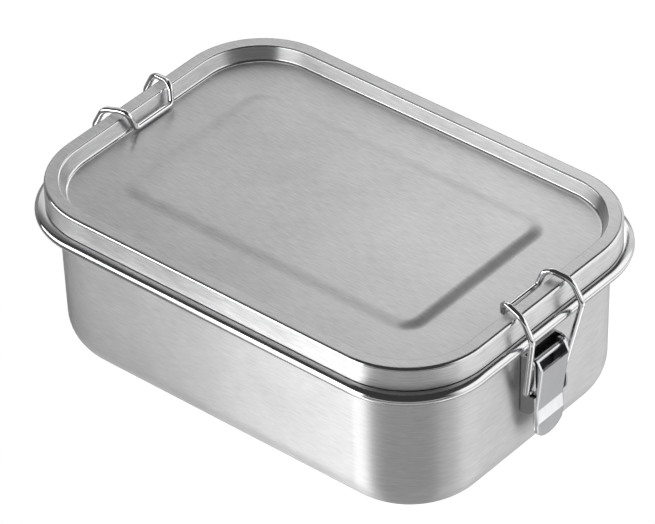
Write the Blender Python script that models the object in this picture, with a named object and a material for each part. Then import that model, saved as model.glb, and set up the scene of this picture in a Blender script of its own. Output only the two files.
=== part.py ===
"""Stainless steel lunch box with a clip-down lid.

A deep-drawn tray with a rolled rim, a pressed lid with a raised border and a soft seal under it, and an
over-centre latch on each short side.  Each latch is a channel bracket welded to the tray, a riveted pivot
pin, a pressed lever and a sprung wire bail that hooks over the lid's border.

Metres, +Z up.  X runs along the box, and the two latches are at its +X and -X ends.
"""

import math

import bmesh
import bpy
from mathutils import Matrix, Vector

MM = 0.001

# ---- driving dimensions, millimetres -------------------------------------------------------------------

LID_LENGTH = 180.0                    # outside of the lid's skirt, along X
LID_WIDTH = 126.1                     # the same along Y
LID_END = LID_LENGTH / 2              # the skirt's end, which the latches are placed from
LID_CORNER_R = 31.0
LID_TOP_Z = 68.0                      # top of the lid's border with the box standing on its base
SHEET = 0.8                           # thickness of the tray and lid
GAP = 0.3                             # between touching neighbours
WELD_GAP = 0.2                        # between a bracket and the wall it is welded to

# tray
RIM_TOP_Z = 59.1                      # top of the flange and of the rolled rim
RIM_ROLL_R = 2.4                      # outside radius of the roll
RIM_OVERHANG = 2.6                    # how far the roll stands out past the lid's skirt
WALL_SETBACK_X = 2.9                  # from the skirt back to the wall at the rim, on the short sides
WALL_SETBACK_Y = 3.4                  # the same on the long sides
WALL_LEAN = 0.8                       # how much each wall comes in between the rim and the bottom bend
BASE_BEND_R = 13.8                    # outside radius of the bend between wall and base

# lid
BORDER_WIDTH = 5.3                    # flat border between the skirt and the sunk panel
PANEL_DEPTH = 5.3                     # how far the panel is sunk below the border
PANEL_WALL_LEAN = 1.9                 # how much the border's inner wall comes in on its way down
SKIRT_EDGE_R = 1.2
BORDER_EDGE_R = 0.8
PANEL_EDGE_R = 1.2
PLATEAU_LENGTH = 117.6                # raised rectangle in the middle of the panel
PLATEAU_WIDTH = 64.0
PLATEAU_RISE = 0.8
PLATEAU_SLOPE = 6.3                   # width of the slope around it
PLATEAU_CORNER_R = 3.0

# latch, each as it is at the +X end
PIN_X = LID_END + 0.9
PIN_Z = 45.6
PIN_R = 1.05
PIN_HEAD_R = 1.6
PIN_HEAD = 0.6                        # thickness of each head
PIN_CLEARANCE = 0.15                  # on the radius, in the lever and the bracket
HOOK_X = LID_END + 0.2                # axis of the bail's hooks, where they turn in the lever
HOOK_Z = 34.4
WIRE_R = 1.1
HOOK_CLEARANCE = 0.2                  # on the radius, in the lever
LEVER_WIDTH = 15.2
LEVER_SHEET = 0.9
LEVER_TOP_X = LID_END + 4.6           # outside of the lever's plate at its top edge
LEVER_TOP_Z = 43.7
LEVER_FOLD_X = LID_END + 2.3          # outside of the plate at the fold above the thumb tab
LEVER_FOLD_Z = 26.0
TAB_X = LID_END + 2.6                 # outside of the thumb tab where it begins
TAB_TOP_Z = 20.4
TAB_END_X = LID_END + 2.1
TAB_END_Z = 13.0
TAB_ROUND = 6.2                       # height of the tab's rounded end
LEVER_LIP = 1.3                       # depth of the side flanges beside the tab, sheet included
EAR_R = 2.4                           # round ends of the lever's ears, about the pin
BRACKET_SHEET = 0.8
LEVER_PLAY = 0.5                      # from each side of the lever to the bracket's cheek
BRACKET_WIDTH = LEVER_WIDTH + 2 * (LEVER_PLAY + BRACKET_SHEET)
BRACKET_FRONT_X = LID_END + 2.6
BRACKET_TOP_Z = 48.4
BRACKET_BOTTOM_Z = 24.8
BRACKET_TOP_NOSE = 3.0                # radius of the cheeks' upper front corner
BRACKET_BOTTOM_NOSE = 4.2
BRACKET_SLOT_X = LID_END - 1.2        # closed end of the slot that takes the bail's hook
BRACKET_SLOT_HALF = 1.6
BAIL_PLAY = 0.4                       # from the wire to the bracket's cheek, at the hooks
BAIL_HOOK_HALF = BRACKET_WIDTH / 2 + BAIL_PLAY + WIRE_R
BAIL_SPREAD = 2.8                     # how much wider each shoulder stands than the hooks
BAIL_HALF_WIDTH = BAIL_HOOK_HALF + BAIL_SPREAD
HOOK_REACH = 1.5                      # how far each hook's end stands inside the lever's ear
BAIL_HOOK_END = LEVER_WIDTH / 2 - LEVER_SHEET - HOOK_REACH
BAR_X = LID_END - BORDER_WIDTH - 4.0  # the bail's cross bar, lying inside the lid's border
BAR_Z = LID_TOP_Z - 3.9
BAR_HALF = BAIL_HALF_WIDTH - 4.0
CREST_X = LID_END - BORDER_WIDTH - 1.8  # where the wire climbs over the border's inner edge
CREST_HALF = BAIL_HALF_WIDTH - 2.1    # half the spread there
CREST_RISE = 1.8                      # how much higher the wire is there than over the border
BRIDGE_HALF = BAIL_HALF_WIDTH - 0.3   # half the spread at the border's outer edge
BAIL_LIFT = 0.2                       # gap between the wire and the border it bridges
SHOULDER_X = LID_END + 6.0            # the bail's widest point, out past the rim
SHOULDER_Z = LID_TOP_Z - 6.7
BAIL_SIDE_LEAN = -1.4                 # how far the bail's top stands to one side, by the play of its hooks

# ---- smoothness ----------------------------------------------------------------------------------------

CORNER_STEPS = 12             # facets in each corner of a ring
ROLL_STEP = 18.0              # degrees between the facets of a small round
WIRE_SIDES = 14
ROUND_SIDES = 28


# ---- outlines ------------------------------------------------------------------------------------------

def ring(half_x, half_y, radius, z):
    """One rounded rectangle, anticlockwise seen from above."""
    points = []
    centres = ((1, 1, 0), (-1, 1, 90), (-1, -1, 180), (1, -1, 270))
    for sign_x, sign_y, start in centres:
        for step in range(CORNER_STEPS + 1):
            angle = math.radians(start + 90.0 * step / CORNER_STEPS)
            x = sign_x * (half_x - radius) + radius * math.cos(angle)
            y = sign_y * (half_y - radius) + radius * math.sin(angle)
            points.append(Vector((x, y, z)))
    return points


def arc(centre, radius, start, end):
    """Points on an arc in a plane, from start to end in degrees."""
    steps = max(2, math.ceil(abs(end - start) / ROLL_STEP))
    points = []
    for step in range(steps + 1):
        angle = math.radians(start + (end - start) * step / steps)
        points.append((centre[0] + radius * math.cos(angle), centre[1] + radius * math.sin(angle)))
    return points


def rounded(points, radii):
    """A path in space whose inner corners are arcs of the given radii."""
    path = [Vector(points[0])]
    for before, corner, after, radius in zip(points, points[1:], points[2:], radii):
        corner = Vector(corner)
        inward = (Vector(before) - corner).normalized()
        outward = (Vector(after) - corner).normalized()
        half = inward.angle(outward) / 2
        reach = radius / math.tan(half)
        centre = corner + (inward + outward).normalized() * radius / math.sin(half)
        first = corner + inward * reach - centre
        last = corner + outward * reach - centre
        turn = first.angle(last)
        steps = max(2, math.ceil(math.degrees(turn) / ROLL_STEP))
        for step in range(steps + 1):
            share = step / steps
            a = math.sin((1 - share) * turn) / math.sin(turn)
            b = math.sin(share * turn) / math.sin(turn)
            path.append(centre + first * a + last * b)
    path.append(Vector(points[-1]))
    return path


# ---- solids --------------------------------------------------------------------------------------------

def finish(name, mesh_data, colour, roughness, metallic, smooth_angle=32.0):
    """Put a mesh in the scene in metres, facing out, with its own material."""
    mesh_data.transform(Matrix.Scale(MM, 4))
    work = bmesh.new()
    work.from_mesh(mesh_data)
    bmesh.ops.remove_doubles(work, verts=work.verts, dist=0.00001)
    bmesh.ops.recalc_face_normals(work, faces=work.faces)
    if work.calc_volume(signed=True) < 0:
        bmesh.ops.reverse_faces(work, faces=work.faces)
    for edge in work.edges:
        edge.smooth = len(edge.link_faces) == 2 and edge.calc_face_angle(0.0) < math.radians(smooth_angle)
    for face in work.faces:
        face.smooth = True
    work.to_mesh(mesh_data)
    work.free()
    thing = bpy.data.objects.new(name, mesh_data)
    bpy.context.scene.collection.objects.link(thing)
    look = bpy.data.materials.new(name)
    look.use_nodes = True
    shader = look.node_tree.nodes["Principled BSDF"]
    shader.inputs["Base Color"].default_value = (*colour, 1.0)
    shader.inputs["Roughness"].default_value = roughness
    shader.inputs["Metallic"].default_value = metallic
    look.diffuse_color = (*colour, 1.0)
    thing.data.materials.append(look)
    return thing


def skin(loops, name, closed=False):
    """Join a stack of loops with equal point counts; cap the ends, or join last to first if closed."""
    work = bmesh.new()
    rows = [[work.verts.new(point) for point in loop] for loop in loops]
    pairs = list(zip(rows, rows[1:]))
    if closed:
        pairs.append((rows[-1], rows[0]))
    for lower, upper in pairs:
        count = len(lower)
        for i in range(count):
            j = (i + 1) % count
            work.faces.new((lower[i], lower[j], upper[j], upper[i]))
    if not closed:
        work.faces.new(list(reversed(rows[0])))
        work.faces.new(rows[-1])
    mesh_data = bpy.data.meshes.new(name)
    work.to_mesh(mesh_data)
    work.free()
    return mesh_data


def slab(outline, axis, low, high, name):
    """Extrude a flat outline along an axis; the outline's two values are the other axes in order."""
    def place(pair, along):
        values = list(pair)
        values.insert("XYZ".index(axis), along)
        return Vector(values)
    loops = [[place(pair, along) for pair in outline] for along in (low, high)]
    return skin(loops, name)


def carve(base, tools, keep=None):
    """Cut tools from a mesh, and keep only what lies inside keep; the result is one plain mesh."""
    scene = bpy.context.scene
    body = bpy.data.objects.new("carve", base)
    scene.collection.objects.link(body)
    helpers = []
    jobs = [(keep, "INTERSECT")] if keep is not None else []
    jobs += [(tool, "DIFFERENCE") for tool in tools]
    for mesh_data, job in jobs:
        work = bmesh.new()
        work.from_mesh(mesh_data)
        bmesh.ops.recalc_face_normals(work, faces=work.faces)
        work.to_mesh(mesh_data)
        work.free()
        helper = bpy.data.objects.new("cutter", mesh_data)
        helper.hide_render = True
        helper.display_type = "WIRE"
        scene.collection.objects.link(helper)
        helpers.append(helper)
        cut = body.modifiers.new(job.lower(), "BOOLEAN")
        cut.operation = job
        cut.object = helper
        cut.solver = "EXACT"
    work = bmesh.new()
    work.from_mesh(base)
    bmesh.ops.recalc_face_normals(work, faces=work.faces)
    work.to_mesh(base)
    work.free()
    graph = bpy.context.evaluated_depsgraph_get()
    result = bpy.data.meshes.new_from_object(body.evaluated_get(graph))
    for helper in helpers:
        bpy.data.objects.remove(helper)
    bpy.data.objects.remove(body)
    return result


def rod(axis_x, axis_z, stations, name):
    """A turned piece along Y: stations are (y, radius) from one end to the other."""
    loops = []
    for y, radius in stations:
        loop = []
        for side in range(ROUND_SIDES):
            angle = math.tau * side / ROUND_SIDES
            loop.append(Vector((axis_x + radius * math.cos(angle), y, axis_z + radius * math.sin(angle))))
        loops.append(loop)
    return skin(loops, name)


def wire(path, radius, name):
    """A round wire along a path, carried along without twist."""
    loops = []
    heading = (path[1] - path[0]).normalized()
    side = heading.orthogonal().normalized()
    for i, point in enumerate(path):
        ahead = path[min(i + 1, len(path) - 1)]
        behind = path[max(i - 1, 0)]
        new_heading = (ahead - behind).normalized()
        side = heading.rotation_difference(new_heading) @ side
        side = (side - new_heading * side.dot(new_heading)).normalized()
        heading = new_heading
        other = heading.cross(side)
        loop = []
        for k in range(WIRE_SIDES):
            angle = math.tau * k / WIRE_SIDES
            loop.append(point + side * (radius * math.cos(angle)) + other * (radius * math.sin(angle)))
        loops.append(loop)
    return skin(loops, name)


def mirrored(mesh_data):
    """The same latch piece at the -X end: the +X piece turned half a turn about the box's middle."""
    copy = mesh_data.copy()
    copy.transform(Matrix.Rotation(math.pi, 4, "Z"))
    return copy


# ---- sizes worked out from the driving dimensions ------------------------------------------------------

LID_HALF_X = LID_END
LID_HALF_Y = LID_WIDTH / 2
WALL_X = LID_HALF_X - WALL_SETBACK_X              # outside of the wall at the rim
WALL_Y = LID_HALF_Y - WALL_SETBACK_Y
WALL_CORNER_R = LID_CORNER_R - 0.4
ROLL_X = LID_HALF_X + RIM_OVERHANG - RIM_ROLL_R    # centre of the roll on the short sides
ROLL_Y = LID_HALF_Y + RIM_OVERHANG - RIM_ROLL_R
ROLL_CORNER_R = LID_CORNER_R + RIM_OVERHANG - RIM_ROLL_R
ROLL_Z = RIM_TOP_Z - RIM_ROLL_R
ROLL_OUT = ROLL_X - WALL_X                         # from the wall out to the roll's centre


def wall_at(z):
    """X of the short wall's outside face at a height."""
    share = (ROLL_Z - z) / (ROLL_Z - BASE_BEND_R)
    return WALL_X - WALL_LEAN * share


def tray_ring(out, z):
    """A ring of the tray, out from the wall's outside face at the rim."""
    share = max(0.0, out) / ROLL_OUT
    half_y = WALL_Y + (ROLL_Y - WALL_Y) * share if out > 0 else WALL_Y + out
    radius = WALL_CORNER_R + (ROLL_CORNER_R - WALL_CORNER_R) * share if out > 0 else WALL_CORNER_R + out
    return ring(WALL_X + out, half_y, radius, z)


def lid_ring(inset, z):
    """A ring of the lid, in from the skirt's outside face."""
    return ring(LID_HALF_X - inset, LID_HALF_Y - inset, LID_CORNER_R - inset, z)


# ---- tray ----------------------------------------------------------------------------------------------

def tray_section():
    """The sheet's cross section as (out from the wall, height), outside first, then the inside."""
    outside = []
    for x, z in arc((-WALL_LEAN - BASE_BEND_R, BASE_BEND_R), BASE_BEND_R, -90, 0):
        outside.append((x, z))
    bend = 0.4
    under = RIM_TOP_Z - SHEET
    for x, z in arc((bend, under - bend), bend, 180, 90):
        outside.append((x, z))
    for x, z in arc((ROLL_OUT, ROLL_Z), RIM_ROLL_R - SHEET, 90, -150):
        outside.append((x, z))
    inside = []
    for x, z in arc((ROLL_OUT, ROLL_Z), RIM_ROLL_R, -150, 90):
        inside.append((x, z))
    for x, z in arc((bend, under - bend), bend + SHEET, 90, 180):
        inside.append((x, z))
    for x, z in arc((-WALL_LEAN - BASE_BEND_R, BASE_BEND_R), BASE_BEND_R - SHEET, 0, -90):
        inside.append((x, z))
    return outside + inside


def make_tray():
    loops = [tray_ring(out, z) for out, z in tray_section()]
    return finish("tray", skin(loops, "tray"), (0.62, 0.62, 0.63), 0.3, 1.0)


# ---- lid -----------------------------------------------------------------------------------------------

def lid_section():
    """The pressed sheet as (in from the skirt, height): the upper face inwards, then the under face."""
    border = LID_TOP_Z
    panel = LID_TOP_Z - PANEL_DEPTH
    skirt_foot = RIM_TOP_Z + GAP
    lean = math.degrees(math.atan2(PANEL_WALL_LEAN, PANEL_DEPTH))
    foot = BORDER_WIDTH + PANEL_WALL_LEAN
    upper = [(0.0, skirt_foot)]
    for x, z in arc((SKIRT_EDGE_R, border - SKIRT_EDGE_R), SKIRT_EDGE_R, 180, 90):
        upper.append((x, z))
    slack = BORDER_EDGE_R * math.tan(math.radians(90 - lean) / 2)
    centre = (BORDER_WIDTH - slack, border - BORDER_EDGE_R)
    for x, z in arc(centre, BORDER_EDGE_R, 90, lean):
        upper.append((x, z))
    slack = PANEL_EDGE_R * math.tan(math.radians(90 - lean) / 2)
    centre = (foot + slack, panel + PANEL_EDGE_R)
    for x, z in arc(centre, PANEL_EDGE_R, 180 + lean, 270):
        upper.append((x, z))
    lower = []
    slack = (PANEL_EDGE_R + SHEET) * math.tan(math.radians(90 - lean) / 2)
    shift = SHEET / math.tan(math.radians(90 + lean) / 2)
    for x, z in arc(centre, PANEL_EDGE_R + SHEET, 270, 180 + lean):
        lower.append((x, z))
    under = border - SHEET
    wall_x = BORDER_WIDTH - shift
    lower.append((wall_x - 0.3, under))
    for x, z in arc((SKIRT_EDGE_R, border - SKIRT_EDGE_R), SKIRT_EDGE_R - SHEET, 90, 180):
        lower.append((x, z))
    lower.append((SHEET, skirt_foot))
    return upper, lower


def plateau_rings(drop):
    """The slope's foot and top on the panel, on a face that lies drop below the upper one."""
    panel = LID_TOP_Z - PANEL_DEPTH - drop
    half_x = PLATEAU_LENGTH / 2
    half_y = PLATEAU_WIDTH / 2
    foot = ring(half_x + PLATEAU_SLOPE, half_y + PLATEAU_SLOPE, PLATEAU_CORNER_R + PLATEAU_SLOPE, panel)
    top = ring(half_x, half_y, PLATEAU_CORNER_R, panel + PLATEAU_RISE)
    return foot, top


def make_lid():
    upper, lower = lid_section()
    loops = [lid_ring(inset, z) for inset, z in upper]
    loops.extend(plateau_rings(0.0))
    foot, top = plateau_rings(SHEET)
    below = [top, foot]
    below.extend(lid_ring(inset, z) for inset, z in lower)
    # the stack runs from the middle of the under face, out to the skirt and back in over the top
    stack = below + loops
    return finish("lid", skin(stack, "lid"), (0.60, 0.60, 0.61), 0.28, 1.0)


# ---- seal ----------------------------------------------------------------------------------------------

def make_seal():
    """A moulded ring in the lid's channel, with a lip that drops inside the tray's wall."""
    wall_in = -SHEET - GAP
    lip_foot = RIM_TOP_Z - 2.1
    seat = RIM_TOP_Z + GAP
    ceiling = LID_TOP_Z - SHEET - GAP
    skirt_in = SHEET + GAP
    inner_top = BORDER_WIDTH - SHEET - GAP
    inner_foot = BORDER_WIDTH + PANEL_WALL_LEAN - SHEET - GAP
    panel_under = LID_TOP_Z - PANEL_DEPTH - SHEET
    lip_in = WALL_X - (LID_HALF_X - inner_foot)
    loops = [
        tray_ring(-lip_in, lip_foot),
        tray_ring(wall_in, lip_foot),
        tray_ring(wall_in, seat),
        lid_ring(skirt_in, seat),
        lid_ring(skirt_in, ceiling),
        lid_ring(inner_top - 0.5, ceiling),
        lid_ring(inner_foot - 0.5, panel_under),
    ]
    return finish("seal", skin(loops, "seal", closed=True), (0.75, 0.75, 0.74), 0.5, 0.0)


# ---- latch pieces, as they are at the +X end -----------------------------------------------------------

def bracket_mesh():
    """A channel with its web against the tray and two slotted cheeks."""
    half = BRACKET_WIDTH / 2
    cheek = half - BRACKET_SHEET
    back_low = wall_at(BRACKET_BOTTOM_Z) + WELD_GAP
    back_high = wall_at(BRACKET_TOP_Z) + WELD_GAP
    outline = [(back_low, BRACKET_BOTTOM_Z)]
    nose = BRACKET_BOTTOM_NOSE
    outline += arc((BRACKET_FRONT_X - nose, BRACKET_BOTTOM_Z + nose), nose, -90, 0)
    nose = BRACKET_TOP_NOSE
    outline += arc((BRACKET_FRONT_X - nose, BRACKET_TOP_Z - nose), nose, 0, 90)
    outline.append((back_high, BRACKET_TOP_Z))
    channel = [
        (back_low + BRACKET_SHEET, BRACKET_BOTTOM_Z - 5),
        (BRACKET_FRONT_X + 5, BRACKET_BOTTOM_Z - 5),
        (BRACKET_FRONT_X + 5, BRACKET_TOP_Z + 5),
        (back_high + BRACKET_SHEET, BRACKET_TOP_Z + 5),
    ]
    slot_r = BRACKET_SLOT_HALF
    slot = arc((BRACKET_SLOT_X + slot_r, HOOK_Z), slot_r, 270, 90)
    slot += [(BRACKET_FRONT_X + 5, HOOK_Z + slot_r), (BRACKET_FRONT_X + 5, HOOK_Z - slot_r)]
    hole = rod(PIN_X, PIN_Z, [(-20, PIN_R + PIN_CLEARANCE), (20, PIN_R + PIN_CLEARANCE)], "hole")
    base = slab(outline, "Y", -half, half, "bracket")
    return carve(base, [
        slab(channel, "Y", -cheek, cheek, "channel"),
        slab(slot, "Y", -20, 20, "slot"),
        hole,
    ])


def pin_mesh():
    """A headed rivet through the bracket's cheeks and the lever's ears."""
    inner = BRACKET_WIDTH / 2 + 0.15
    outer = inner + PIN_HEAD
    edge = PIN_HEAD * 0.5
    half = [(inner, PIN_R), (inner, PIN_HEAD_R), (outer - edge, PIN_HEAD_R), (outer, PIN_HEAD_R - edge)]
    stations = [(-y, r) for y, r in reversed(half)] + half
    return rod(PIN_X, PIN_Z, stations, "pin")


def lever_mesh():
    """A pressed channel: ears about the pin, a plate, a fold and a round thumb tab."""
    half = LEVER_WIDTH / 2
    cheek = half - LEVER_SHEET
    back = PIN_X - EAR_R
    plate = [
        (LEVER_TOP_X, LEVER_TOP_Z),
        (LEVER_FOLD_X, LEVER_FOLD_Z),
        (TAB_X, TAB_TOP_Z),
        (TAB_END_X, TAB_END_Z - 1.0),
    ]
    outline = list(plate)
    outline.append((TAB_END_X - LEVER_SHEET, TAB_END_Z - 1.0))
    outline.append((TAB_X - LEVER_LIP - 0.1, TAB_END_Z + TAB_ROUND * 0.5))
    outline.append((TAB_X - LEVER_LIP - 0.1, TAB_TOP_Z))
    outline.append((LEVER_FOLD_X - LEVER_LIP, LEVER_FOLD_Z))
    outline.append((back, HOOK_Z - 3.4))
    outline += arc((PIN_X, PIN_Z), EAR_R, 180, 30)
    inner = [(x - LEVER_SHEET, z) for x, z in plate]
    pocket = inner[:-1] + [(inner[-1][0], TAB_END_Z - 3), (80, TAB_END_Z - 3), (80, 60), (100, 60)]
    pocket += [(100, LEVER_TOP_Z)]
    squash = TAB_ROUND / half
    front = [(y, TAB_END_Z + TAB_ROUND + z * squash) for y, z in arc((0, 0), half, 180, 360)]
    front += [(half, 60), (-half, 60)]
    pin_hole = PIN_R + PIN_CLEARANCE
    hook_hole = WIRE_R + HOOK_CLEARANCE
    base = slab(outline, "Y", -half, half, "lever")
    return carve(base, [
        slab(pocket, "Y", -cheek, cheek, "pocket"),
        rod(PIN_X, PIN_Z, [(-20, pin_hole), (20, pin_hole)], "pin_hole"),
        rod(HOOK_X, HOOK_Z, [(-20, hook_hole), (20, hook_hole)], "hook_hole"),
    ], keep=slab(front, "X", 70, 110, "front"))


def bail_mesh():
    """One bent wire: hooks in the lever, legs past the rim, shoulders over the border, a cross bar."""
    ride_z = LID_TOP_Z + WIRE_R + BAIL_LIFT
    half = [
        (BAR_X, BAR_HALF, BAR_Z),
        (CREST_X, CREST_HALF, ride_z + CREST_RISE),
        (LID_HALF_X + 2.0, BRIDGE_HALF, ride_z),
        (SHOULDER_X, BAIL_HALF_WIDTH, SHOULDER_Z),
        (HOOK_X, BAIL_HOOK_HALF, HOOK_Z),
        (HOOK_X, BAIL_HOOK_END, HOOK_Z),
    ]
    radii = [1.8, 3.8, 5.4, 4.5, 1.5]
    other = [(x, -y, z) for x, y, z in reversed(half)]
    path = rounded(other + half, list(reversed(radii)) + radii)
    for point in path:
        point.y += BAIL_SIDE_LEAN * (point.z - HOOK_Z) / (LID_TOP_Z - HOOK_Z)
    return wire(path, WIRE_R, "bail")


def make_latch(side):
    """All four pieces of one latch: side is "right" at +X or "left" at -X."""
    pieces = {
        "bracket": (bracket_mesh(), (0.55, 0.55, 0.56), 0.3, 1.0),
        "pin": (pin_mesh(), (0.66, 0.66, 0.67), 0.18, 1.0),
        "lever": (lever_mesh(), (0.58, 0.58, 0.59), 0.3, 1.0),
        "bail": (bail_mesh(), (0.70, 0.70, 0.71), 0.12, 1.0),
    }
    axes = {"lever": (PIN_X, PIN_Z), "bail": (HOOK_X, HOOK_Z)}
    made = {}
    for piece, (mesh_data, colour, roughness, metallic) in pieces.items():
        turned = mesh_data if side == "right" else mirrored(mesh_data)
        made[piece] = finish(side + "_" + piece, turned, colour, roughness, metallic)
    for piece, (x, z) in axes.items():
        sign = 1 if side == "right" else -1
        pivot = Vector((sign * x * MM, 0.0, z * MM))
        made[piece].data.transform(Matrix.Translation(-pivot))
        made[piece].location = pivot
    return made


# ---- build ---------------------------------------------------------------------------------------------

for old in list(bpy.data.objects):
    bpy.data.objects.remove(old)

make_tray()
make_lid()
make_seal()
make_latch("right")
make_latch("left")
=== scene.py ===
# %% [markdown]
# # A stainless steel lunch box with two wire latches
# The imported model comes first. Its nodes already stand in the right place, in metres, with +Z up, so each
# finished piece below is made at the same place and then takes over from the plain node it stands for.

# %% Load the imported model
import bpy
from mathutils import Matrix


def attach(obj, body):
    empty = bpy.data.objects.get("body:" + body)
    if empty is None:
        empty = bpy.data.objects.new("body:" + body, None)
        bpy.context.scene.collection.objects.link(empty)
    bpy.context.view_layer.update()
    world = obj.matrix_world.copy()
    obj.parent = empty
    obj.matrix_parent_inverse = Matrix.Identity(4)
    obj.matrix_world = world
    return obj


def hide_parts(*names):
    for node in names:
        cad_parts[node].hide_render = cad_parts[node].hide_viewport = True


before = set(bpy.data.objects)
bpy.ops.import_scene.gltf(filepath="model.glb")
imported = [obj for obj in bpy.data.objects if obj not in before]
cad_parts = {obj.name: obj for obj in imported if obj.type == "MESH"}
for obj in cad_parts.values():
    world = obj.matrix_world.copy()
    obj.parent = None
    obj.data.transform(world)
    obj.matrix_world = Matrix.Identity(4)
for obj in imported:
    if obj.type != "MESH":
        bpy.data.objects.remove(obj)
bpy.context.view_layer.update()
print("nodes:", sorted(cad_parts))

# %% [markdown]
# ## Sizes
# Sizes are in millimetres and become metres, times MM, when a mesh or a wire is made. They are the sizes of
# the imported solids, so a finer piece has the same outline as the plain one under it.

# %% Sizes
import math

import bmesh
import bpy
from mathutils import Matrix, Vector

MM = 0.001
SHEET = 0.8
LID_HALF_X, LID_HALF_Y = 90.0, 63.05
LID_CORNER = 31.0
LID_TOP = 68.0
RIM_TOP = 59.1
ROLL_R = 2.4
WALL_X, WALL_Y, WALL_CORNER = 87.1, 59.65, 30.6
ROLL_X, ROLL_Y, ROLL_CORNER = 90.2, 63.25, 31.2
ROLL_Z = RIM_TOP - ROLL_R
ROLL_OUT = ROLL_X - WALL_X
WALL_LEAN = 0.8
BASE_BEND = 13.8
LID_GAP = 0.3
print("lid", 2 * LID_HALF_X, "x", 2 * LID_HALF_Y, "mm, top at", LID_TOP)

# %% [markdown]
# ## Outlines
# A pressed box is a cross section carried round a rounded rectangle. `ring` is that rectangle at one height
# and `arc` is a bend in the cross section. Small steps matter on metal, because a mirror shows every facet.

# %% Rounded rectangles and bends
def ring(half_x, half_y, radius, z, steps=22):
    points = []
    for sign_x, sign_y, start in ((1, 1, 0), (-1, 1, 90), (-1, -1, 180), (1, -1, 270)):
        for step in range(steps + 1):
            angle = math.radians(start + 90.0 * step / steps)
            x = sign_x * (half_x - radius) + radius * math.cos(angle)
            y = sign_y * (half_y - radius) + radius * math.sin(angle)
            points.append(Vector((x, y, z)))
    return points


def arc(centre, radius, start, end, step=7.5):
    count = max(3, math.ceil(abs(end - start) / step))
    angles = [math.radians(start + (end - start) * i / count) for i in range(count + 1)]
    across, up = centre
    return [(across + radius * math.cos(a), up + radius * math.sin(a)) for a in angles]


print("points in one ring:", len(ring(10, 10, 5, 0)))

# %% [markdown]
# ## From outlines to a closed mesh
# `skin` joins a stack of rings into one closed shell. `finish_piece` merges doubled points, turns every
# face outwards, shades it smooth and scales it to metres. The weighted normals keep the flat areas flat
# right up to their bends, which plain smooth shading doesn't do.

# %% Skin and finish
SHARP_ANGLE = 38


def skin(name, loops, closed=False):
    work = bmesh.new()
    rows = [[work.verts.new(point) for point in loop] for loop in loops]
    pairs = list(zip(rows, rows[1:]))
    if closed:
        pairs.append((rows[-1], rows[0]))
    for lower, upper in pairs:
        for i in range(len(lower)):
            j = (i + 1) % len(lower)
            work.faces.new((lower[i], lower[j], upper[j], upper[i]))
    if not closed:
        work.faces.new(list(reversed(rows[0])))
        work.faces.new(rows[-1])
    return finish_piece(name, work)


def finish_piece(name, work, scale=MM):
    bmesh.ops.scale(work, vec=(scale, scale, scale), verts=work.verts)
    bmesh.ops.remove_doubles(work, verts=work.verts, dist=0.000002)
    bmesh.ops.recalc_face_normals(work, faces=work.faces)
    if work.calc_volume(signed=True) < 0:
        bmesh.ops.reverse_faces(work, faces=work.faces)
    for face in work.faces:
        face.smooth = True
    for edge in work.edges:
        edge.smooth = edge.calc_face_angle(0.0) < math.radians(SHARP_ANGLE)
    mesh = bpy.data.meshes.new(name)
    work.to_mesh(mesh)
    work.free()
    piece = bpy.data.objects.new(name, mesh)
    bpy.context.scene.collection.objects.link(piece)
    return piece


def settle(piece):
    """Turn a piece with modifiers into a plain mesh at the origin."""
    graph = bpy.context.evaluated_depsgraph_get()
    mesh = bpy.data.meshes.new_from_object(piece.evaluated_get(graph))
    mesh.name = piece.name
    if piece.type == "MESH":
        piece.modifiers.clear()
        piece.data = mesh
        return piece
    plain = bpy.data.objects.new(piece.name + "_mesh", mesh)
    bpy.context.scene.collection.objects.link(plain)
    name = piece.name
    bpy.data.objects.remove(piece)
    plain.name = name
    return plain


def flatten_shading(piece):
    weigh = piece.modifiers.new("weigh", "WEIGHTED_NORMAL")
    weigh.keep_sharp = True
    weigh.weight = 60
    return settle(piece)


print("edges under", SHARP_ANGLE, "degrees are shaded smooth")

# %% [markdown]
# ## Node helpers
# Every finish below is a small node tree. These helpers add a node, set its sockets by name and link them,
# so that each recipe reads as one line per idea.

# %% Node helpers
def put(tree, kind, **sockets):
    """Add a node. A word sets the socket of that name, i0 the first socket and _word a property."""
    node = tree.nodes.new(kind)
    for key, value in sockets.items():
        if key.startswith("_"):
            setattr(node, key[1:], value)
    for key, value in sockets.items():
        if key.startswith("_"):
            continue
        numbered = key[0] == "i" and key[1:].isdigit()
        socket = node.inputs[int(key[1:]) if numbered else key]
        if isinstance(value, bpy.types.NodeSocket):
            tree.links.new(value, socket)
        else:
            socket.default_value = value
    return node


def maths(tree, operation, *values):
    sockets = {"i%d" % i: value for i, value in enumerate(values)}
    return put(tree, "ShaderNodeMath", _operation=operation, **sockets).outputs[0]


def stretch(tree, value, low, high, new_low, new_high, kind="LINEAR"):
    node = put(tree, "ShaderNodeMapRange", _interpolation_type=kind, Value=value)
    node.inputs["From Min"].default_value = low
    node.inputs["From Max"].default_value = high
    node.inputs["To Min"].default_value = new_low
    node.inputs["To Max"].default_value = new_high
    return node.outputs["Result"]


def mix(tree, kind, factor, first, second):
    """Blend two fixed values. A Mix node has its own sockets for vectors and for colours."""
    first_socket, second_socket, result = (4, 5, 1) if kind == "VECTOR" else (6, 7, 2)
    node = put(tree, "ShaderNodeMix", _data_type=kind, Factor=factor)
    node.inputs[first_socket].default_value = first
    node.inputs[second_socket].default_value = second
    return node.outputs[result]


def vary_tone(tree, shader, factor, tone, spread):
    darker = (*[v * (1 - spread) for v in tone], 1)
    lighter = (*[min(1, v * (1 + spread)) for v in tone], 1)
    tree.links.new(mix(tree, "RGBA", factor, darker, lighter), shader.inputs["Base Color"])


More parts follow.
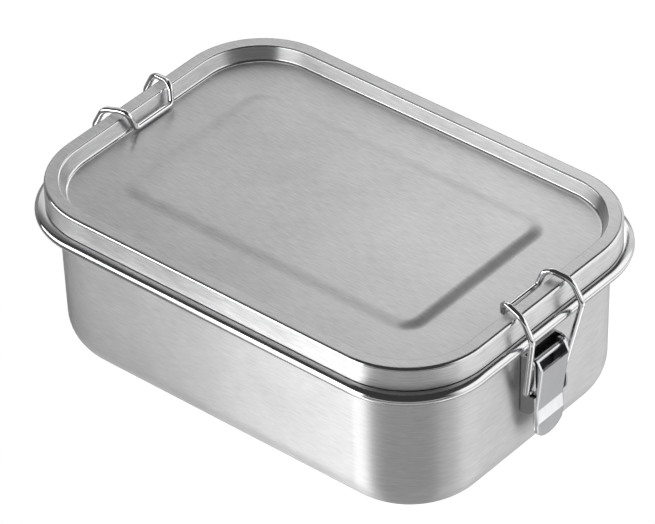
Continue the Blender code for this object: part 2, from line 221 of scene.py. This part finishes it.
def add_relief(tree, shader, strength, distance, height):
    bump = put(tree, "ShaderNodeBump", Strength=strength, Distance=distance, Height=height)
    tree.links.new(bump.outputs["Normal"], shader.inputs["Normal"])


def new_finish(name):
    material = bpy.data.materials.new(name)
    material.use_nodes = True
    shader = material.node_tree.nodes["Principled BSDF"]
    return material, material.node_tree, shader


print("node helpers:", [helper.__name__ for helper in (put, maths, stretch, mix, vary_tone, add_relief)])

# %% [markdown]
# ## Brushed sheet steel
# The sheet is brushed before it is pressed, so thin lines run along the box on the lid and level round the
# walls. Light spreads across the lines and stays narrow along them, and this is why a brushed corner shows
# upright light and dark bands. Principled BSDF does that with Anisotropic, and its Tangent points across
# the lines: along Y on top, upright on a wall.

# %% Brushed sheet steel
WALL_GRAIN, TOP_GRAIN = (170, 170, 2400), (190, 2400, 190)
UPRIGHT, ALONG_Y = (0, 0, 1), (0, 1, 0)
LINE_SHARE, CLOUD_SHARE = 0.72, 0.28
LEVEL_METAL = 0.8


def brushed_steel(name, tone, roughness, depth, contrast):
    material, tree, shader = new_finish(name)
    place = tree.nodes.new("ShaderNodeTexCoord").outputs["Object"]
    facing = tree.nodes.new("ShaderNodeNewGeometry").outputs["Normal"]
    upward = put(tree, "ShaderNodeSeparateXYZ", Vector=facing).outputs["Z"]
    level = maths(tree, "GREATER_THAN", maths(tree, "ABSOLUTE", upward), LEVEL_METAL)
    tree.links.new(mix(tree, "VECTOR", level, UPRIGHT, ALONG_Y), shader.inputs["Tangent"])
    grain = mix(tree, "VECTOR", level, WALL_GRAIN, TOP_GRAIN)
    lines_at = put(tree, "ShaderNodeVectorMath", _operation="MULTIPLY", i0=place, i1=grain).outputs[0]
    lines = put(tree, "ShaderNodeTexNoise", Vector=lines_at, Scale=1.0, Detail=4.0, Roughness=0.65)
    clouds = put(tree, "ShaderNodeTexNoise", Vector=place, Scale=42.0, Detail=3.0, Roughness=0.55)
    both = maths(tree, "ADD", maths(tree, "MULTIPLY", lines.outputs["Fac"], LINE_SHARE),
                 maths(tree, "MULTIPLY", clouds.outputs["Fac"], CLOUD_SHARE))
    vary_tone(tree, shader, stretch(tree, both, 0.3, 0.7, 0.0, 1.0), tone, contrast)
    rough = stretch(tree, both, 0.3, 0.7, roughness - 0.04, roughness + 0.04)
    tree.links.new(rough, shader.inputs["Roughness"])
    add_relief(tree, shader, depth, 0.00004, lines.outputs["Fac"])
    shader.inputs["Metallic"].default_value = 0.88
    shader.inputs["Anisotropic"].default_value = 0.85
    return material


lid_steel = brushed_steel("brushed lid steel", (0.64, 0.64, 0.645), 0.38, 0.25, 0.26)
tray_steel = brushed_steel("brushed tray steel", (0.61, 0.61, 0.61), 0.42, 0.25, 0.17)
print("made", lid_steel.name, "and", tray_steel.name)

# %% [markdown]
# ## Smooth steel, bright wire and silicone
# The small parts are tumbled, not brushed: their shine is the same in every direction. The wire is nearly a
# mirror. The seal is matt silicone rubber. Each still varies a little in tone, and the metals in roughness
# too.

# %% Smooth metals and rubber
def smooth_metal(name, tone, roughness, grain=(400.0, 400.0, 60.0), depth=0.1):
    material, tree, shader = new_finish(name)
    place = tree.nodes.new("ShaderNodeTexCoord").outputs["Object"]
    clouds = put(tree, "ShaderNodeTexNoise", Vector=place, Scale=90.0, Detail=3.0)
    grained = put(tree, "ShaderNodeVectorMath", _operation="MULTIPLY", i0=place, i1=grain)
    fine = put(tree, "ShaderNodeTexNoise", Vector=grained.outputs[0], Scale=1.0, Detail=3.0)
    vary_tone(tree, shader, clouds.outputs["Fac"], tone, 0.05)
    rough = stretch(tree, fine.outputs["Fac"], 0.3, 0.7, roughness * 0.8, roughness * 1.2)
    tree.links.new(rough, shader.inputs["Roughness"])
    add_relief(tree, shader, depth, 0.00003, fine.outputs["Fac"])
    shader.inputs["Metallic"].default_value = 1.0
    return material


def silicone(name):
    material, tree, shader = new_finish(name)
    place = tree.nodes.new("ShaderNodeTexCoord").outputs["Object"]
    fine = put(tree, "ShaderNodeTexNoise", Vector=place, Scale=900.0, Detail=2.0)
    tone = mix(tree, "RGBA", fine.outputs["Fac"], (0.72, 0.72, 0.70, 1), (0.82, 0.82, 0.80, 1))
    tree.links.new(tone, shader.inputs["Base Color"])
    add_relief(tree, shader, 0.15, 0.00005, fine.outputs["Fac"])
    shader.inputs["Roughness"].default_value = 0.45
    shader.inputs["Subsurface Weight"].default_value = 0.15
    shader.inputs["Subsurface Radius"].default_value = (0.002, 0.002, 0.002)
    return material


rolled_steel = smooth_metal("polished bends", (0.66, 0.66, 0.665), 0.17, (120.0, 120.0, 900.0), 0.05)
latch_steel = smooth_metal("latch steel", (0.60, 0.605, 0.62), 0.20)
bracket_steel = smooth_metal("bracket steel", (0.50, 0.50, 0.51), 0.22)
bright_wire = smooth_metal("bright wire", (0.78, 0.78, 0.79), 0.05, (300.0, 300.0, 300.0), 0.03)
seal_rubber = silicone("seal silicone")
print("made", [m.name for m in (rolled_steel, latch_steel, bracket_steel, bright_wire, seal_rubber)])

# %% [markdown]
# ## The tray
# The tray is drawn from one sheet: a flat base, a wide bend, a wall that leans a little, a flange and a
# rolled rim. The section runs up the outside, round the inside of the roll, back over the outside of the
# roll and down the inner face, so one skin gives the sheet its thickness.

# %% Tray
FLANGE_BEND = 0.4
ROLLED_FROM = 54.2


def tray_ring(out, z):
    share = max(0.0, out) / ROLL_OUT
    half_y = WALL_Y + (ROLL_Y - WALL_Y) * share if out > 0 else WALL_Y + out
    radius = WALL_CORNER + (ROLL_CORNER - WALL_CORNER) * share if out > 0 else WALL_CORNER + out
    return ring(WALL_X + out, half_y, radius, z)


def tray_section():
    under = RIM_TOP - SHEET
    base = (-WALL_LEAN - BASE_BEND, BASE_BEND)
    outside = arc(base, BASE_BEND, -90, 0, 5)
    outside += arc((FLANGE_BEND, under - FLANGE_BEND), FLANGE_BEND, 180, 90, 20)
    outside += arc((ROLL_OUT, ROLL_Z), ROLL_R - SHEET, 90, -150, 10)
    inside = arc((ROLL_OUT, ROLL_Z), ROLL_R, -150, 90, 7.5)
    inside += arc((FLANGE_BEND, under - FLANGE_BEND), FLANGE_BEND + SHEET, 90, 180, 15)
    inside += arc(base, BASE_BEND - SHEET, 0, -90, 5)
    return outside + inside


tray = flatten_shading(skin("lunch_tray", [tray_ring(out, z) for out, z in tray_section()]))
tray.data.materials.append(tray_steel)
tray.data.materials.append(rolled_steel)
for face in tray.data.polygons:
    face.material_index = 1 if face.center.z > ROLLED_FROM * MM else 0
print("tray faces:", len(tray.data.polygons))

# %% [markdown]
# ## The lid
# The lid is one pressing too: a skirt, a flat border, a wall down to the panel and a low plateau with a
# soft slope round it. The slope follows an S curve, as a shallow pressing does, because sheet metal can't
# make a sharp corner there.

# %% Lid
BORDER, PANEL_DEPTH, PANEL_LEAN = 5.3, 5.3, 1.9
SKIRT_EDGE, BORDER_EDGE, PANEL_EDGE = 1.2, 0.8, 1.2
PLATEAU_X, PLATEAU_Y, PLATEAU_RISE, SLOPE, PLATEAU_CORNER = 58.8, 32.0, 0.8, 6.3, 3.0


def lid_ring(inset, z):
    return ring(LID_HALF_X - inset, LID_HALF_Y - inset, LID_CORNER - inset, z)


def lid_section():
    panel = LID_TOP - PANEL_DEPTH
    lean = math.degrees(math.atan2(PANEL_LEAN, PANEL_DEPTH))
    turn = math.tan(math.radians(90 - lean) / 2)
    foot = BORDER + PANEL_LEAN
    upper = [(0.0, RIM_TOP + LID_GAP)]
    upper += arc((SKIRT_EDGE, LID_TOP - SKIRT_EDGE), SKIRT_EDGE, 180, 90)
    upper += arc((BORDER - BORDER_EDGE * turn, LID_TOP - BORDER_EDGE), BORDER_EDGE, 90, lean)
    centre = (foot + PANEL_EDGE * turn, panel + PANEL_EDGE)
    upper += arc(centre, PANEL_EDGE, 180 + lean, 270)
    lower = arc(centre, PANEL_EDGE + SHEET, 270, 180 + lean)
    under_border = BORDER - SHEET / math.tan(math.radians(90 + lean) / 2) - 0.3
    lower.append((under_border, LID_TOP - SHEET))
    lower += arc((SKIRT_EDGE, LID_TOP - SKIRT_EDGE), SKIRT_EDGE - SHEET, 90, 180, 15)
    lower.append((SHEET, RIM_TOP + LID_GAP))
    return upper, lower


def slope_rings(drop, steps=10):
    panel = LID_TOP - PANEL_DEPTH - drop
    rings = []
    for i in range(steps + 1):
        t = i / steps
        out = SLOPE * (1 - t)
        rise = PLATEAU_RISE * t * t * (3 - 2 * t)
        rings.append(ring(PLATEAU_X + out, PLATEAU_Y + out, PLATEAU_CORNER + out, panel + rise))
    return rings


upper, lower = lid_section()
under_face = list(reversed(slope_rings(SHEET))) + [lid_ring(inset, z) for inset, z in lower]
upper_face = [lid_ring(inset, z) for inset, z in upper] + slope_rings(0.0)
lid = flatten_shading(skin("lunch_lid", under_face + upper_face))
lid.data.materials.append(lid_steel)
lid.data.materials.append(rolled_steel)
# The upward part of a face's normal is 0 on the skirt, about 0.34 on the sunk wall and 1 on level metal.
# What lies between those three is a bend.
SKIRT_UP_TO, WALL_FROM, WALL_UP_TO, LEVEL_FROM = 0.03, 0.31, 0.36, 0.975
for face in lid.data.polygons:
    tilt = face.normal.z
    bend = SKIRT_UP_TO < tilt < WALL_FROM or WALL_UP_TO < tilt < LEVEL_FROM
    face.material_index = 1 if bend else 0
print("lid faces:", len(lid.data.polygons))

# %% [markdown]
# ## The seal
# A soft ring sits in the channel under the lid's border, with a lip that drops inside the tray. It shows
# only when the lid is lifted. Its section is closed, so its skin joins the last ring to the first.

# %% Seal
SEAL_GAP = 0.3
LIP_FOOT, LIP_SHOULDER = RIM_TOP - 2.1, RIM_TOP - 1.7
SEAL_TOP = LID_TOP - SHEET - 0.3
inner_foot = BORDER + PANEL_LEAN - SHEET - SEAL_GAP
lip_in = WALL_X - (LID_HALF_X - inner_foot)
seal = skin("lunch_seal", [
    tray_ring(-lip_in, LIP_FOOT),
    tray_ring(-lip_in + 0.4, LIP_FOOT),
    tray_ring(-SHEET - 0.7, LIP_FOOT),
    tray_ring(-SHEET - SEAL_GAP, LIP_SHOULDER),
    tray_ring(-SHEET - SEAL_GAP, RIM_TOP + LID_GAP),
    lid_ring(SHEET + SEAL_GAP, RIM_TOP + LID_GAP),
    lid_ring(SHEET + SEAL_GAP, SEAL_TOP),
    lid_ring(BORDER - SHEET - 0.8, SEAL_TOP),
    lid_ring(inner_foot - 0.5, LID_TOP - PANEL_DEPTH - SHEET),
], closed=True)
seal.data.materials.append(seal_rubber)
print("seal faces:", len(seal.data.polygons))

# %% [markdown]
# ## Brackets and levers
# Both are folded from sheet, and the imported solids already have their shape: cheeks, slot, ears, fold and
# thumb tab. What they lack is the small round that every sheared edge has, and that is what catches the
# light. So a copy of each is merged, its flat faces are joined up and a fine Bevel rounds its edges. A
# lever's folds are rounder than its sheared edges, so they are picked out by where they lie and bevelled
# first.

# %% Brackets and levers
CHEEK_Y, CHEEK_X, CHEEK_TOP = 7.05 * MM, 92.0 * MM, 44.0 * MM
CREASE_X, CREASE_LOW, CREASE_TOP = 91.8 * MM, 20.0 * MM, 26.5 * MM
CREASE_BEVEL = 0.15 * MM


def is_fold(edge):
    """True for an upright edge where a lever's face turns into its cheek."""
    first, second = [vert.co for vert in edge.verts]
    outside = all(abs(spot.y) > CHEEK_Y and abs(spot.x) > CHEEK_X and spot.z < CHEEK_TOP
                  for spot in (first, second))
    return outside and abs(first.z - second.z) > 0.4 * MM


def is_crease(edge):
    """True for a level edge where a lever's face turns out into its thumb tab."""
    first, second = [vert.co for vert in edge.verts]
    low_down = all(abs(spot.x) > CREASE_X and CREASE_LOW < spot.z < CREASE_TOP for spot in (first, second))
    return low_down and abs(first.y - second.y) > 10.0 * MM


def rounded_copy(node_name, name, width, fold=0.0):
    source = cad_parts[node_name]
    work = bmesh.new()
    work.from_mesh(source.data)
    bmesh.ops.transform(work, matrix=source.matrix_world, verts=work.verts)
    bmesh.ops.remove_doubles(work, verts=work.verts, dist=0.000005)
    bmesh.ops.dissolve_limit(work, angle_limit=math.radians(0.6), verts=work.verts, edges=work.edges)
    if fold > 0:
        folds = [edge for edge in work.edges if is_fold(edge)]
        bmesh.ops.bevel(work, geom=folds, offset=fold * MM, segments=5, profile=0.5, affect="EDGES")
        creases = [edge for edge in work.edges if is_crease(edge)]
        bmesh.ops.bevel(work, geom=creases, offset=CREASE_BEVEL, segments=1, affect="EDGES",
                        clamp_overlap=True)
        print(name, "folded edges:", len(folds), "creases:", len(creases))
    piece = finish_piece(name, work, 1.0)
    soften = piece.modifiers.new("soften", "BEVEL")
    soften.width = width * MM
    soften.segments = 3
    soften.limit_method = "ANGLE"
    soften.angle_limit = math.radians(25)
    soften.harden_normals = True
    piece = settle(piece)
    piece.data.shade_smooth()
    return flatten_shading(piece)


brackets, levers = {}, {}
for side in ("right", "left"):
    brackets[side] = rounded_copy(side + "_bracket", side + "_latch_bracket", 0.12)
    levers[side] = rounded_copy(side + "_lever", side + "_latch_lever", 0.14, 1.15)
    brackets[side].data.materials.append(bracket_steel)
    levers[side].data.materials.append(latch_steel)
    print(side, "bracket", len(brackets[side].data.polygons), "lever", len(levers[side].data.polygons))

# %% [markdown]
# ## A node tree for round wire
# A bail is one bent wire, and a wire is a circle carried along a path: Curve to Mesh does exactly that. The
# tree takes the wire's radius, its number of sides and its finish as named inputs.

# %% Wire tree
def wire_tree():
    tree = bpy.data.node_groups.new("round wire", "GeometryNodeTree")
    face = tree.interface
    face.new_socket("Geometry", in_out="INPUT", socket_type="NodeSocketGeometry")
    radius = face.new_socket("Wire radius", in_out="INPUT", socket_type="NodeSocketFloat")
    sides = face.new_socket("Sides", in_out="INPUT", socket_type="NodeSocketInt")
    finish = face.new_socket("Finish", in_out="INPUT", socket_type="NodeSocketMaterial")
    face.new_socket("Geometry", in_out="OUTPUT", socket_type="NodeSocketGeometry")
    start, end = tree.nodes.new("NodeGroupInput"), tree.nodes.new("NodeGroupOutput")
    section = put(tree, "GeometryNodeCurvePrimitiveCircle", Resolution=start.outputs["Sides"],
                  Radius=start.outputs["Wire radius"])
    sweep = put(tree, "GeometryNodeCurveToMesh", Curve=start.outputs["Geometry"])
    sweep.inputs["Fill Caps"].default_value = True
    tree.links.new(section.outputs["Curve"], sweep.inputs["Profile Curve"])
    smooth = put(tree, "GeometryNodeSetShadeSmooth", Geometry=sweep.outputs["Mesh"])
    real = put(tree, "GeometryNodeRealizeInstances", Geometry=smooth.outputs["Geometry"])
    paint = put(tree, "GeometryNodeSetMaterial", Geometry=real.outputs["Geometry"],
                Material=start.outputs["Finish"])
    tree.links.new(paint.outputs["Geometry"], end.inputs["Geometry"])
    return tree, {"radius": radius.identifier, "sides": sides.identifier, "finish": finish.identifier}


wire_nodes, wire_inputs = wire_tree()
print("wire tree inputs:", wire_inputs)

# %% [markdown]
# ## The bails
# Each wire starts in a hook inside the lever, runs up past the rim, turns over the lid's border and drops
# to a cross bar in the sunk panel. It is bent round pegs, so every corner is an arc. The left bail is the
# right one turned half a turn about the middle of the box.

# %% Bail path
def rounded(points, radii, step=6.0):
    """Turn a line of straight runs into one with an arc at every corner."""
    path = [Vector(points[0])]
    for before, corner, after, radius in zip(points, points[1:], points[2:], radii):
        corner = Vector(corner)
        inward = (Vector(before) - corner).normalized()
        outward = (Vector(after) - corner).normalized()
        half = inward.angle(outward) / 2
        reach = radius / math.tan(half)
        centre = corner + (inward + outward).normalized() * radius / math.sin(half)
        first = corner + inward * reach - centre
        last = corner + outward * reach - centre
        turn = first.angle(last)
        count = max(3, math.ceil(math.degrees(turn) / step))
        for i in range(count + 1):
            a = math.sin((1 - i / count) * turn) / math.sin(turn)
            b = math.sin(i / count * turn) / math.sin(turn)
            path.append(centre + first * a + last * b)
    path.append(Vector(points[-1]))
    return path


WIRE_R, HOOK_X, HOOK_Z = 1.1, 90.2, 34.4
RIDE_Z = LID_TOP + WIRE_R + 0.2
SIDE_LEAN = -1.4
half_bail = [
    (80.7, 9.2, 64.1),
    (82.9, 11.1, RIDE_Z + 1.8),
    (LID_HALF_X + 2.0, 12.9, RIDE_Z),
    (96.0, 13.2, 61.3),
    (HOOK_X, 10.4, HOOK_Z),
    (HOOK_X, 5.2, HOOK_Z),
]
bends = [1.8, 3.8, 5.4, 4.5, 1.5]
other_half = [(x, -y, z) for x, y, z in reversed(half_bail)]
bail_path = rounded(other_half + half_bail, bends[::-1] + bends)
for point in bail_path:
    point.y += SIDE_LEAN * (point.z - HOOK_Z) / (LID_TOP - HOOK_Z)
print("points along one bail:", len(bail_path))

# %% Bails
bails = {}
for side, turn in (("right", 0.0), ("left", math.pi)):
    curve = bpy.data.curves.new(side + "_wire_bail", "CURVE")
    curve.dimensions = "3D"
    line = curve.splines.new("POLY")
    line.points.add(len(bail_path) - 1)
    for spot, point in zip(line.points, bail_path):
        spot.co = (*(Matrix.Rotation(turn, 3, "Z") @ point * MM), 1.0)
    holder = bpy.data.objects.new(side + "_wire_bail", curve)
    bpy.context.scene.collection.objects.link(holder)
    wire = holder.modifiers.new("wire", "NODES")
    wire.node_group = wire_nodes
    wire[wire_inputs["radius"]] = WIRE_R * MM
    wire[wire_inputs["sides"]] = 24
    wire[wire_inputs["finish"]] = bright_wire
    bails[side] = settle(holder)
    looks = [material.name for material in bails[side].data.materials]
    print(bails[side].name, len(bails[side].data.polygons), "faces", looks)

# %% [markdown]
# ## The rivets
# A headed rivet goes through each bracket and carries its lever. Both rivets are the same turned piece, so
# one is made about its own axis and a node tree puts a copy at each end of the box.

# %% One rivet
def turned(name, stations, sides=40):
    """Turn a profile of (place along Y, radius) pairs about the Y axis."""
    angles = [math.tau * k / sides for k in range(sides)]
    loops = []
    for y, radius in stations:
        loops.append([Vector((radius * math.cos(angle), y, radius * math.sin(angle))) for angle in angles])
    return skin(name, loops)


head = [(9.05, 1.05), (9.05, 1.5), (9.12, 1.6), (9.3, 1.6),
        (9.45, 1.5), (9.57, 1.2), (9.63, 0.7), (9.65, 0.15)]
other_head = [(-y, radius) for y, radius in reversed(head)]
rivet = turned("rivet_pattern", other_head + head)
rivet.data.materials.append(latch_steel)
print("rivet faces:", len(rivet.data.polygons))

# %% Rivet pair tree
def rivet_tree():
    tree = bpy.data.node_groups.new("rivet pair", "GeometryNodeTree")
    face = tree.interface
    face.new_socket("Geometry", in_out="INPUT", socket_type="NodeSocketGeometry")
    pattern = face.new_socket("Rivet", in_out="INPUT", socket_type="NodeSocketObject")
    reach = face.new_socket("Reach", in_out="INPUT", socket_type="NodeSocketFloat")
    height = face.new_socket("Height", in_out="INPUT", socket_type="NodeSocketFloat")
    finish = face.new_socket("Finish", in_out="INPUT", socket_type="NodeSocketMaterial")
    face.new_socket("Geometry", in_out="OUTPUT", socket_type="NodeSocketGeometry")
    start, end = tree.nodes.new("NodeGroupInput"), tree.nodes.new("NodeGroupOutput")
    ends = []
    for sign in (1.0, -1.0):
        along = maths(tree, "MULTIPLY", start.outputs["Reach"], sign)
        spot = put(tree, "ShaderNodeCombineXYZ", X=along, Z=start.outputs["Height"])
        ends.append(spot.outputs[0])
    row = tree.nodes.new("GeometryNodeMeshLine")
    row.mode = "END_POINTS"
    row.inputs["Count"].default_value = 2
    # With END_POINTS the socket called Offset holds the far end of the line.
    tree.links.new(ends[0], row.inputs["Start Location"])
    tree.links.new(ends[1], row.inputs["Offset"])
    shape = tree.nodes.new("GeometryNodeObjectInfo")
    tree.links.new(start.outputs["Rivet"], shape.inputs["Object"])
    copies = put(tree, "GeometryNodeInstanceOnPoints", Points=row.outputs["Mesh"],
                 Instance=shape.outputs["Geometry"])
    real = put(tree, "GeometryNodeRealizeInstances", Geometry=copies.outputs["Instances"])
    paint = put(tree, "GeometryNodeSetMaterial", Geometry=real.outputs["Geometry"],
                Material=start.outputs["Finish"])
    tree.links.new(paint.outputs["Geometry"], end.inputs["Geometry"])
    return tree, [item.identifier for item in (pattern, reach, height, finish)]


RIVET_X, RIVET_Z = 90.9, 45.6
rivet_nodes, rivet_inputs = rivet_tree()
rivets = bpy.data.objects.new("lever_rivets", bpy.data.meshes.new("lever_rivets"))
bpy.context.scene.collection.objects.link(rivets)
pair = rivets.modifiers.new("pair", "NODES")
pair.node_group = rivet_nodes
for key, value in zip(rivet_inputs, (rivet, RIVET_X * MM, RIVET_Z * MM, latch_steel)):
    pair[key] = value
rivets = settle(rivets)
bpy.data.objects.remove(rivet)
print("rivets:", len(rivets.data.polygons), "faces")

# %% [markdown]
# ## Bodies
# Each piece now rides on the body that carries its node, and stands for that node. The rivets stay with the
# tray, because their ends are set in the brackets and only the levers turn.

# %% Bodies
def hand_over(piece, body, slot, *nodes):
    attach(piece, body)
    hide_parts(*nodes)


hand_over(tray, "tray_body", "drawn_steel", "tray")
hand_over(lid, "lid_body", "drawn_steel", "lid")
hand_over(seal, "lid_body", "seal_rubber", "seal")
hand_over(rivets, "tray_body", "latch_steel", "right_pin", "left_pin")
for side in ("right", "left"):
    hand_over(brackets[side], "tray_body", "latch_steel", side + "_bracket")
    hand_over(levers[side], side + "_lever_body", "latch_steel", side + "_lever")
    hand_over(bails[side], side + "_bail_body", "bright_wire", side + "_bail")

# %% [markdown]
# ## Floor
# A wide pale floor. It glows a little so that it reads as a white sweep, and the metal doesn't mirror it,
# because its light on the metal comes from the surroundings below.

# %% Floor
bpy.ops.mesh.primitive_plane_add(size=12.0, location=(0, 0, -0.0004))
floor = bpy.context.object
floor.name = "studio_floor"
floor_look, _, floor_shader = new_finish("pale floor")
floor_shader.inputs["Base Color"].default_value = (0.82, 0.82, 0.82, 1)
floor_shader.inputs["Roughness"].default_value = 0.9
floor_shader.inputs["Emission Color"].default_value = (1, 1, 1, 1)
floor_shader.inputs["Emission Strength"].default_value = 0.86
floor.data.materials.append(floor_look)
floor.visible_glossy = False
print("floor:", floor.name)

# %% [markdown]
# ## Surroundings
# Polished metal has no colour of its own, it shows the room. The far part of the room is the world: dark on
# the whole, with a bright wall to the right, a bright line at the horizon in front, a dim wall behind and
# patches of pale ground below. Each part is a window in azimuth (degrees from +X) and in height (the
# direction's Z, from -1 straight down to 1 straight up), with soft edges.

# %% The far room
world = bpy.data.worlds.new("studio")
world.use_nodes = True
bpy.context.scene.world = world
sky = world.node_tree
sky.nodes.clear()
look = sky.nodes.new("ShaderNodeTexCoord").outputs["Generated"]
along = put(sky, "ShaderNodeSeparateXYZ", Vector=look)


def window(tree, value, low, high, soft_low, soft_high):
    """One between low and high, fading to nought over the soft width beyond each."""
    rise = stretch(tree, value, low - soft_low, low, 0.0, 1.0, "SMOOTHSTEP")
    fall = stretch(tree, value, high, high + soft_high, 1.0, 0.0, "SMOOTHSTEP")
    return maths(tree, "MULTIPLY", rise, fall)


def bearing(centre):
    """Degrees from one azimuth, counted from -180 to 180."""
    turned_to = put(sky, "ShaderNodeVectorRotate", _rotation_type="Z_AXIS", Vector=look,
                    Angle=-math.radians(centre))
    parts = put(sky, "ShaderNodeSeparateXYZ", Vector=turned_to.outputs[0])
    angle = maths(sky, "ARCTAN2", parts.outputs["Y"], parts.outputs["X"])
    return maths(sky, "MULTIPLY", angle, math.degrees(1.0))


def far_light(centre, half, soft_left, soft_right, z_low, z_high, soft_z, strength):
    side = window(sky, bearing(centre), -half, half, soft_left, soft_right)
    height = window(sky, along.outputs["Z"], z_low, z_high, soft_z, soft_z)
    return maths(sky, "MULTIPLY", maths(sky, "MULTIPLY", side, height), strength)


# Azimuth of the middle, half its width, soft left, soft right, lowest Z, highest Z, soft Z, strength.
WALL_ON_THE_RIGHT = (50.0, 45.0, 14.0, 14.0, -0.61, 0.60, 0.05, 0.74)
GROUND_IN_FRONT = (-50.0, 46.0, 6.0, 6.0, -0.76, -0.42, 0.08, 0.52)
FOOT_OF_THE_WALL = (45.0, 28.0, 10.0, 15.0, -0.60, -0.45, 0.04, 0.80)
TOP_OF_THE_WALL = (42.0, 32.0, 10.0, 8.0, -0.05, 0.60, 0.10, 0.60)
LINE_IN_FRONT = (-59.0, 45.0, 10.0, 10.0, -0.10, 0.14, 0.06, 0.55)
WALL_BEHIND = (137.0, 35.0, 20.0, 20.0, -0.15, 0.40, 0.15, 0.26)
GROUND_AT_THE_RIGHT = (20.0, 26.0, 10.0, 10.0, -0.86, -0.66, 0.05, 1.00)
GROUND_FAR_RIGHT = (62.0, 10.0, 8.0, 20.0, -0.78, -0.66, 0.04, 0.42)
GROUND_AT_THE_LEFT = (180.0, 70.0, 20.0, 20.0, -0.80, -0.35, 0.20, 0.25)
ROOM = [WALL_ON_THE_RIGHT, GROUND_IN_FRONT, FOOT_OF_THE_WALL, TOP_OF_THE_WALL, LINE_IN_FRONT, WALL_BEHIND,
        GROUND_AT_THE_RIGHT, GROUND_FAR_RIGHT, GROUND_AT_THE_LEFT]
GROUND_BELOW, DARK_ROOM = 0.28, 0.05

lights = [far_light(*part) for part in ROOM]
straight_down = stretch(sky, along.outputs["Z"], -0.64, -0.78, 0.0, 1.0, "SMOOTHSTEP")
lights.append(maths(sky, "MULTIPLY", straight_down, GROUND_BELOW))
total = DARK_ROOM
for light in lights:
    total = maths(sky, "ADD", light, total)
glow = put(sky, "ShaderNodeBackground", Color=(1.0, 1.0, 1.0, 1.0), Strength=total)
out = sky.nodes.new("ShaderNodeOutputWorld")
sky.links.new(glow.outputs[0], out.inputs["Surface"])
print("far lights:", len(lights))

# %% [markdown]
# ## Near panels
# Three soft panels stand close to the box: one low at the front left, a narrow bright band just above it
# and one overhead at the back left. Because they are near, each place on the box sees another part of them,
# and that is where the slow change of tone along a flat wall comes from. They show only in the metal, so
# the floor stays even.

# %% Near panels
def near_panel(name, corners, bands, fade):
    """A card that glows in bands added together, and fades along one axis to a share of that."""
    mesh = bpy.data.meshes.new(name)
    mesh.from_pydata(corners, [], [(0, 1, 2, 3)])
    card = bpy.data.objects.new(name, mesh)
    bpy.context.scene.collection.objects.link(card)
    material = bpy.data.materials.new(name)
    material.use_nodes = True
    tree = material.node_tree
    tree.nodes.clear()
    place = tree.nodes.new("ShaderNodeTexCoord").outputs["Object"]
    parts = put(tree, "ShaderNodeSeparateXYZ", Vector=place)
    strength = 0.0
    for axis, *limits, value in bands:
        band = maths(tree, "MULTIPLY", window(tree, parts.outputs[axis], *limits), value)
        strength = maths(tree, "ADD", band, strength)
    axis, *limits, least = fade
    share = stretch(tree, window(tree, parts.outputs[axis], *limits), 0, 1, least, 1)
    strength = maths(tree, "MULTIPLY", strength, share)
    light = put(tree, "ShaderNodeEmission", Color=(1.0, 1.0, 1.0, 1.0), Strength=strength)
    end = tree.nodes.new("ShaderNodeOutputMaterial")
    tree.links.new(light.outputs[0], end.inputs["Surface"])
    mesh.materials.append(material)
    card.visible_camera = card.visible_diffuse = card.visible_shadow = False
    return card


# Each band says axis, low, high, soft low, soft high and strength. A fade ends with its least share instead.
front_panel = near_panel(
    "front_left_panel",
    [(-0.95, -0.30, -0.60), (0.03, -0.30, -0.60), (0.03, -0.30, 0.02), (-0.95, -0.30, 0.02)],
    [("X", -0.90, 0.00, 0.05, 0.02, 0.16), ("X", -0.136, 0.00, 0.055, 0.02, 2.25)],
    ("Z", -0.55, 0.02, 0.05, 0.03, 0.0))
upper_panel = near_panel(
    "front_left_upper_panel",
    [(-0.95, -0.30, 0.02), (0.03, -0.30, 0.02), (0.03, -0.30, 0.27), (-0.95, -0.30, 0.27)],
    [("X", -0.90, 0.00, 0.05, 0.02, 4.2)],
    ("Z", 0.04, 0.17, 0.015, 0.02, 0.0))
top_panel = near_panel(
    "top_left_panel",
    [(-1.1, -0.15, 0.40), (-0.10, -0.15, 0.40), (-0.10, 1.30, 0.40), (-1.1, 1.30, 0.40)],
    [("X", -1.05, -0.13, 0.05, 0.02, 0.99), ("X", -0.185, -0.13, 0.12, 0.02, 1.02)],
    ("Y", 0.30, 1.20, 0.30, 0.1, 0.2))
print("near panels:", front_panel.name, upper_panel.name, top_panel.name)

# %% [markdown]
# ## Camera
# A long lens from well above and to one side, so that the edges of the box stay nearly parallel.

# %% Camera
eye = bpy.data.objects.new("camera", bpy.data.cameras.new("camera"))
bpy.context.scene.collection.objects.link(eye)
bpy.context.scene.camera = eye
AZIMUTH, ELEVATION, ROLL = math.radians(40.90), math.radians(37.72), math.radians(-1.70)
DISTANCE, TARGET = 1.67402, Vector((0, 0, 0.030))
level = math.cos(ELEVATION)
back = Vector((math.sin(AZIMUTH) * level, -math.cos(AZIMUTH) * level, math.sin(ELEVATION)))
right = Vector((math.cos(AZIMUTH), math.sin(AZIMUTH), 0))
up = back.cross(right)
level_right = right * math.cos(ROLL) + up * math.sin(ROLL)
level_up = -right * math.sin(ROLL) + up * math.cos(ROLL)
turned_eye = Matrix((level_right, level_up, back)).transposed().to_4x4()
eye.matrix_world = Matrix.Translation(TARGET + back * DISTANCE) @ turned_eye
eye.data.sensor_width = 36.0
eye.data.lens = 272.29
eye.data.shift_x, eye.data.shift_y = -0.0107, 0.03627
eye.data.clip_start, eye.data.clip_end = 0.05, 30.0
bpy.context.scene.view_settings.view_transform = "Standard"
print("camera at", [round(v, 3) for v in eye.location])
